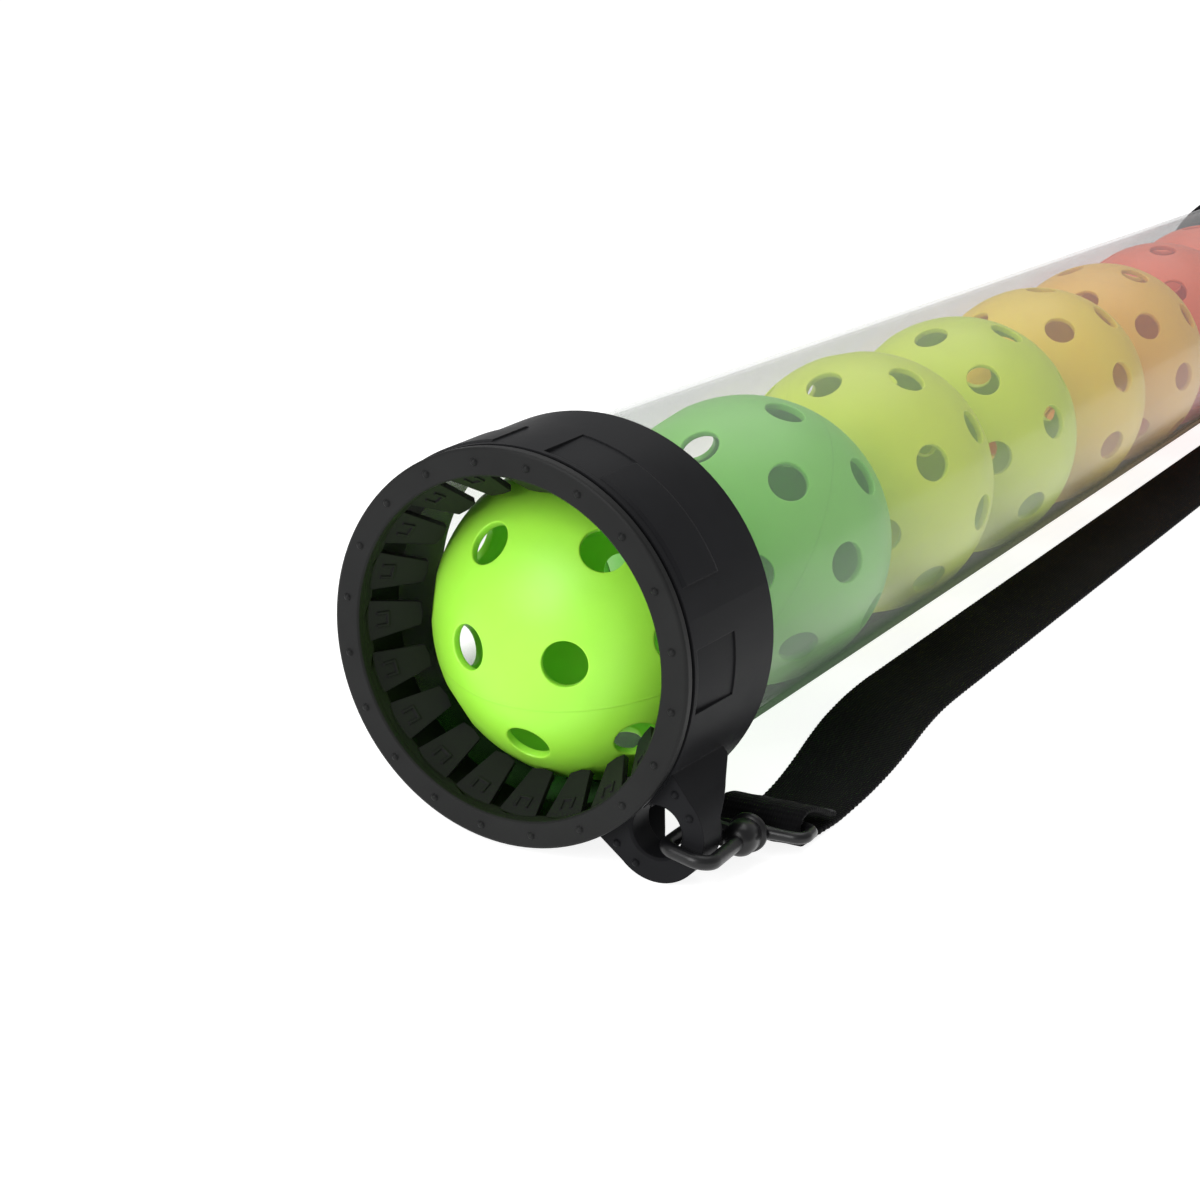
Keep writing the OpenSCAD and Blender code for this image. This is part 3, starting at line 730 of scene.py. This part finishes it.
def ears():
    """Cheeks that carry the gate's pin: a rounded plate each side, drawn from the hook's back, and
    a block between them."""
    gate_x = TIP_X + BAR_R + 1.0 + 0.15
    px, py, r = gate_x + 0.4, CLAW_LEN + 0.6, 2.0
    outline = []
    for k in range(17):
        a = math.pi * 0.5 + math.pi * k / 16
        outline.append((px + r * math.cos(a), py + r * math.sin(a)))
    outline += [(px + 1.0, py - 1.5), (px + 2.4, py + 0.2), (BACK_X, py + 0.2), (BACK_X, py + r)]
    n = len(outline)
    cx = sum(p[0] for p in outline) / n
    cy = sum(p[1] for p in outline) / n
    edge, shrink = 0.12, 0.955
    parts = []
    for z0, z1 in ((-2.45, -1.26), (1.26, 2.45)):
        rows = [(z0, shrink), (z0 + edge, 1.0), (z1 - edge, 1.0), (z1, shrink)]
        verts = [Vector((cx + (x - cx) * s, cy + (y - cy) * s, z))
                 for z, s in rows for x, y in outline]
        parts.append((verts, skin(len(rows), n)))
    corners = [(px + 2.6, py + 0.25), (BACK_X, py + 0.25),
               (BACK_X, py + r - 0.05), (px + 2.3, py + r - 0.05)]
    block = [Vector((x, y, z)) for z in (-1.3, 1.3) for x, y in corners]
    parts.append((block, skin(2, len(corners))))
    return joined(parts)


def eye_loop():
    """The flat eye, a boss on its near bar, and the post that turns in the barrel."""
    corners = [(-EYE_HALF, EYE_NEAR, 0), (EYE_HALF, EYE_NEAR, 0),
               (EYE_HALF, EYE_FAR, 0), (-EYE_HALF, EYE_FAR, 0)]
    line = cut_up(rounded_path(corners, EYE_BEND, closed=True, steps=12), 0.9, closed=True)
    radii = []
    for p in line:
        boss = math.exp(-(p.x / 3.4) ** 2) if abs(p.y - EYE_NEAR) < 0.5 else 0.0
        radii.append(EYE_R * (1 + 0.5 * boss))
    ring = swept(line, radii, 20, closed=True)
    post = turned([(BARREL_END - 2.6, 1.0), (BARREL_END - 2.5, 1.3), (BARREL_END + 0.05, 1.3),
                   (BARREL_END + 0.2, 1.8), (BARREL_END + 0.5, 2.05), (BARREL_END + 1.0, 2.0),
                   (BARREL_END + 1.6, 1.4)], 28)
    verts, faces = joined([ring, post])
    return [p + Vector((BARREL_X, 0, 0)) for p in verts], faces


for end, mirrored in (("mouth", False), ("end", True)):
    verts, faces = joined([claw(), barrel(), ears()])
    verts = place_all([rolled(v) for v in verts], mirrored)
    hook = new_object(end + "_hook_piece", verts, faces, metal_mat)
    outward(hook)
    smooth_by_angle(hook, 50)
    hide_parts(end + "_hook")
    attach(hook, end + "_hook_body")
    verts, faces = eye_loop()
    eye = new_object(end + "_eye_piece", place_all(verts, mirrored), faces, metal_mat)
    outward(eye)
    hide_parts(end + "_eye")
    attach(eye, end + "_eye_body")


# ---------------------------------------------------------------- strap

# The band and its fold round the eye, LOOSE being what the fold stands off more than in the solid.
# Behind the eye it sinks over RISE, drifts sideways over DRIFT and widens over NARROW.
STRAP_W, STRAP_T, GAP, FOLD = 25.0, 1.3, 0.3, 16.0
LOOSE = 1.25
LOOP_R = EYE_R + GAP + STRAP_T / 2 + LOOSE
eye_bar = HOOK_MATRIX @ Vector((BARREL_X, EYE_FAR, 0))
EYE_X, EYE_Y, EYE_Z = HOOK_X + eye_bar.x, HOOK_Y + eye_bar.y, HOOK_Z + eye_bar.z
FLOOR_Z = -RIM_R + STRAP_T / 2 + 0.1
LAYER = STRAP_T + GAP
RISE, DRIFT_FROM, DRIFT = 20.0, 12.0, 100.0
NARROW_FROM, NARROW = 6.0, 74.0
NEAR_RUN = RISE + 80
ROUTE_STEP, PICOT_PITCH = 0.8, 2.3


def lift(s):
    """How far the band is still up at the eye's height: 1 at the eye, 0 on the floor."""
    return 0.0 if s >= RISE else (1 + math.cos(math.pi * s / RISE)) / 2


def eased(q):
    q = min(max(q, 0.0), 1.0)
    return (1 - math.cos(math.pi * q)) / 2


def upper_z(s):
    return FLOOR_Z + LAYER + (EYE_Z + LOOP_R - FLOOR_Z - LAYER) * lift(s)


def lower_z(s):
    return FLOOR_Z + (EYE_Z - LOOP_R - FLOOR_Z) * lift(s)


def half_route(step):
    """From the sewn tail round the eye's far bar to the flat run: distance behind it, height."""
    out = [(s, upper_z(s)) for s in np.arange(FOLD, 0.4, -step)]
    for a in np.linspace(math.pi / 2, 1.5 * math.pi, 19):
        out.append((LOOP_R * math.cos(a), EYE_Z + LOOP_R * math.sin(a)))
    out += [(s, lower_z(s)) for s in np.arange(step, NEAR_RUN, step)]
    return out


def full_route(step):
    """Both halves with the flat run between them, and the distance from one eye to the other."""
    half = half_route(step)
    span = LENGTH - 2 * EYE_Y
    middle = [(s, FLOOR_Z) for s in np.arange(NEAR_RUN, span - RISE - 80, step)]
    back = [(span - s, z) for s, z in reversed(half)]
    return half + middle + back, span


def band_point(s, span):
    """Middle of the band in plan, its turn and half its width, s behind the eye's far bar."""
    d = min(s, span - s)
    q = eased((d - DRIFT_FROM) / DRIFT)
    x = EYE_X + (LUG_X - EYE_X) * q
    turn = HOOK_TURN * (1 - q) * (1 if s < span / 2 else -1)
    half = (FOLD_W + (STRAP_W - FOLD_W) * eased((d - NARROW_FROM) / NARROW)) / 2
    return x, turn, half


def make_strap():
    """The band along its route: a flat section with thin edges, puckered where it is gathered."""
    route, span = full_route(ROUTE_STEP)
    n = len(route)
    half_t = STRAP_T / 2
    cuts = np.linspace(-1, 1, 13)
    section = [(c, 0.35, half_t) for c in cuts]
    section += [(1, 0.1, half_t * 0.7), (1, 0.0, 0.0), (1, 0.1, -half_t * 0.7)]
    section += [(c, 0.35, -half_t) for c in cuts[::-1]]
    section += [(-1, 0.1, -half_t * 0.7), (-1, 0.0, 0.0), (-1, 0.1, half_t * 0.7)]
    verts, uvs, along = [], [], 0.0
    for i, (s, z) in enumerate(route):
        a, b = route[max(i - 1, 0)], route[min(i + 1, n - 1)]
        tan = Vector((b[0] - a[0], b[1] - a[1])).normalized()
        nor = Vector((-tan.y, tan.x))
        x, turn, half_w = band_point(s, span)
        if i:
            along += math.hypot(s - route[i - 1][0], z - route[i - 1][1])
        picot = 0.16 * math.sin(2 * math.pi * along / PICOT_PITCH) - 0.1
        gathered = (STRAP_W / 2 - half_w) / 2.5
        for c, inset, t in section:
            w = c * (half_w - inset)
            if inset < 0.2:
                w += math.copysign(picot, c)
            out = t + 0.16 * gathered * math.cos(3 * math.pi * c) * (1 - abs(c))
            verts.append(at(x + w * math.cos(turn), EYE_Y + s + nor.x * out + w * math.sin(turn),
                            z + nor.y * out))
            uvs.append((c * STRAP_W / 2, along))
    strap = new_object("strap_piece", verts, skin(n, len(section)), strap_mat, uvs=uvs)
    outward(strap)
    smooth_by_angle(strap, 60)
    centre = [at(band_point(s, span)[0], EYE_Y + s, z) for s, z in route]
    return strap, centre, along


strap, strap_line, strap_len = make_strap()
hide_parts("strap")
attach(strap, "tube_body")

SEAM_ROWS, SEAM_STITCHES = (12.6, 14.4), 7
STITCH, STITCH_PITCH, STITCH_RISE, THREAD_R = 2.1, 2.8, 0.16, 0.22


def stitches(mirrored):
    """Rows of thread across the sewn fold, on its upper face."""
    parts = []
    for s in SEAM_ROWS:
        z = upper_z(s) + STRAP_T / 2 + 0.02
        x, turn, half_w = band_point(s, LENGTH)
        for k in range(SEAM_STITCHES):
            w0 = 1.0 - half_w + STITCH_PITCH * k
            line = []
            for q in range(5):
                w = w0 + STITCH * q / 4
                rise = STITCH_RISE * (math.sin(math.pi * q / 4) - 0.5)
                line.append(at(x + w * math.cos(turn), EYE_Y + s + w * math.sin(turn), z + rise))
            if mirrored:
                line = [far(p) for p in line]
            pts, radii = domed(line, THREAD_R * MM, 3)
            parts.append(swept(pts, radii, 8))
    verts, faces = joined(parts)
    obj = new_object("stitches_%s" % ("end" if mirrored else "mouth"), verts, faces, thread_mat)
    outward(obj)
    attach(obj, "tube_body")
    return obj


sewing = [stitches(False), stitches(True)]


# ---------------------------------------------------------------- stage and light

FLOOR_HALF = 30.0


def floor():
    """White floor that also shines a little, since the photograph has no shadow on it."""
    n = Nodes("floor_paint")
    soft = n.noise(n.coords(), 6.0, 3.0)
    n.shader(
        Base_Color=n.mix(soft, colour(0.40, 0.40, 0.40), colour(0.42, 0.42, 0.42)),
        Roughness=0.9,
        Specular_IOR_Level=0.1,
        Emission_Color=colour(1, 1, 1),
        Emission_Strength=0.88,
    )
    s = FLOOR_HALF
    corners = [(-s, -s, 0), (s, -s, 0), (s, s, 0), (-s, s, 0)]
    obj = new_object("floor", corners, [(0, 1, 2, 3)], n.mat, smooth=False)


def area_light(name, place, target, size, power):
    data = bpy.data.lights.new(name, "AREA")
    data.shape = "RECTANGLE"
    data.size, data.size_y = size
    data.energy = power
    obj = bpy.data.objects.new(name, data)
    scene.collection.objects.link(obj)
    place, target = Vector(place), Vector(target)
    aim = (target - place).to_track_quat("-Z", "Y").to_matrix().to_4x4()
    obj.matrix_world = Matrix.Translation(place) @ aim


floor()
world = bpy.data.worlds.new("studio")
world.use_nodes = True
sky = world.node_tree.nodes["Background"]
sky.inputs["Color"].default_value = (1.0, 1.0, 1.0, 1.0)
sky.inputs["Strength"].default_value = 0.42
scene.world = world
scene.view_settings.view_transform = "Standard"
scene.view_settings.look = "None"
area_light("top_soft", (-0.3, 0.2, 1.5), (0.0, -0.1, 0.0), (1.6, 1.6), 15.0)
area_light("front_soft", (-0.35, -1.95, 0.95), (0.0, -0.32, 0.04), (1.1, 1.1), 24.0)
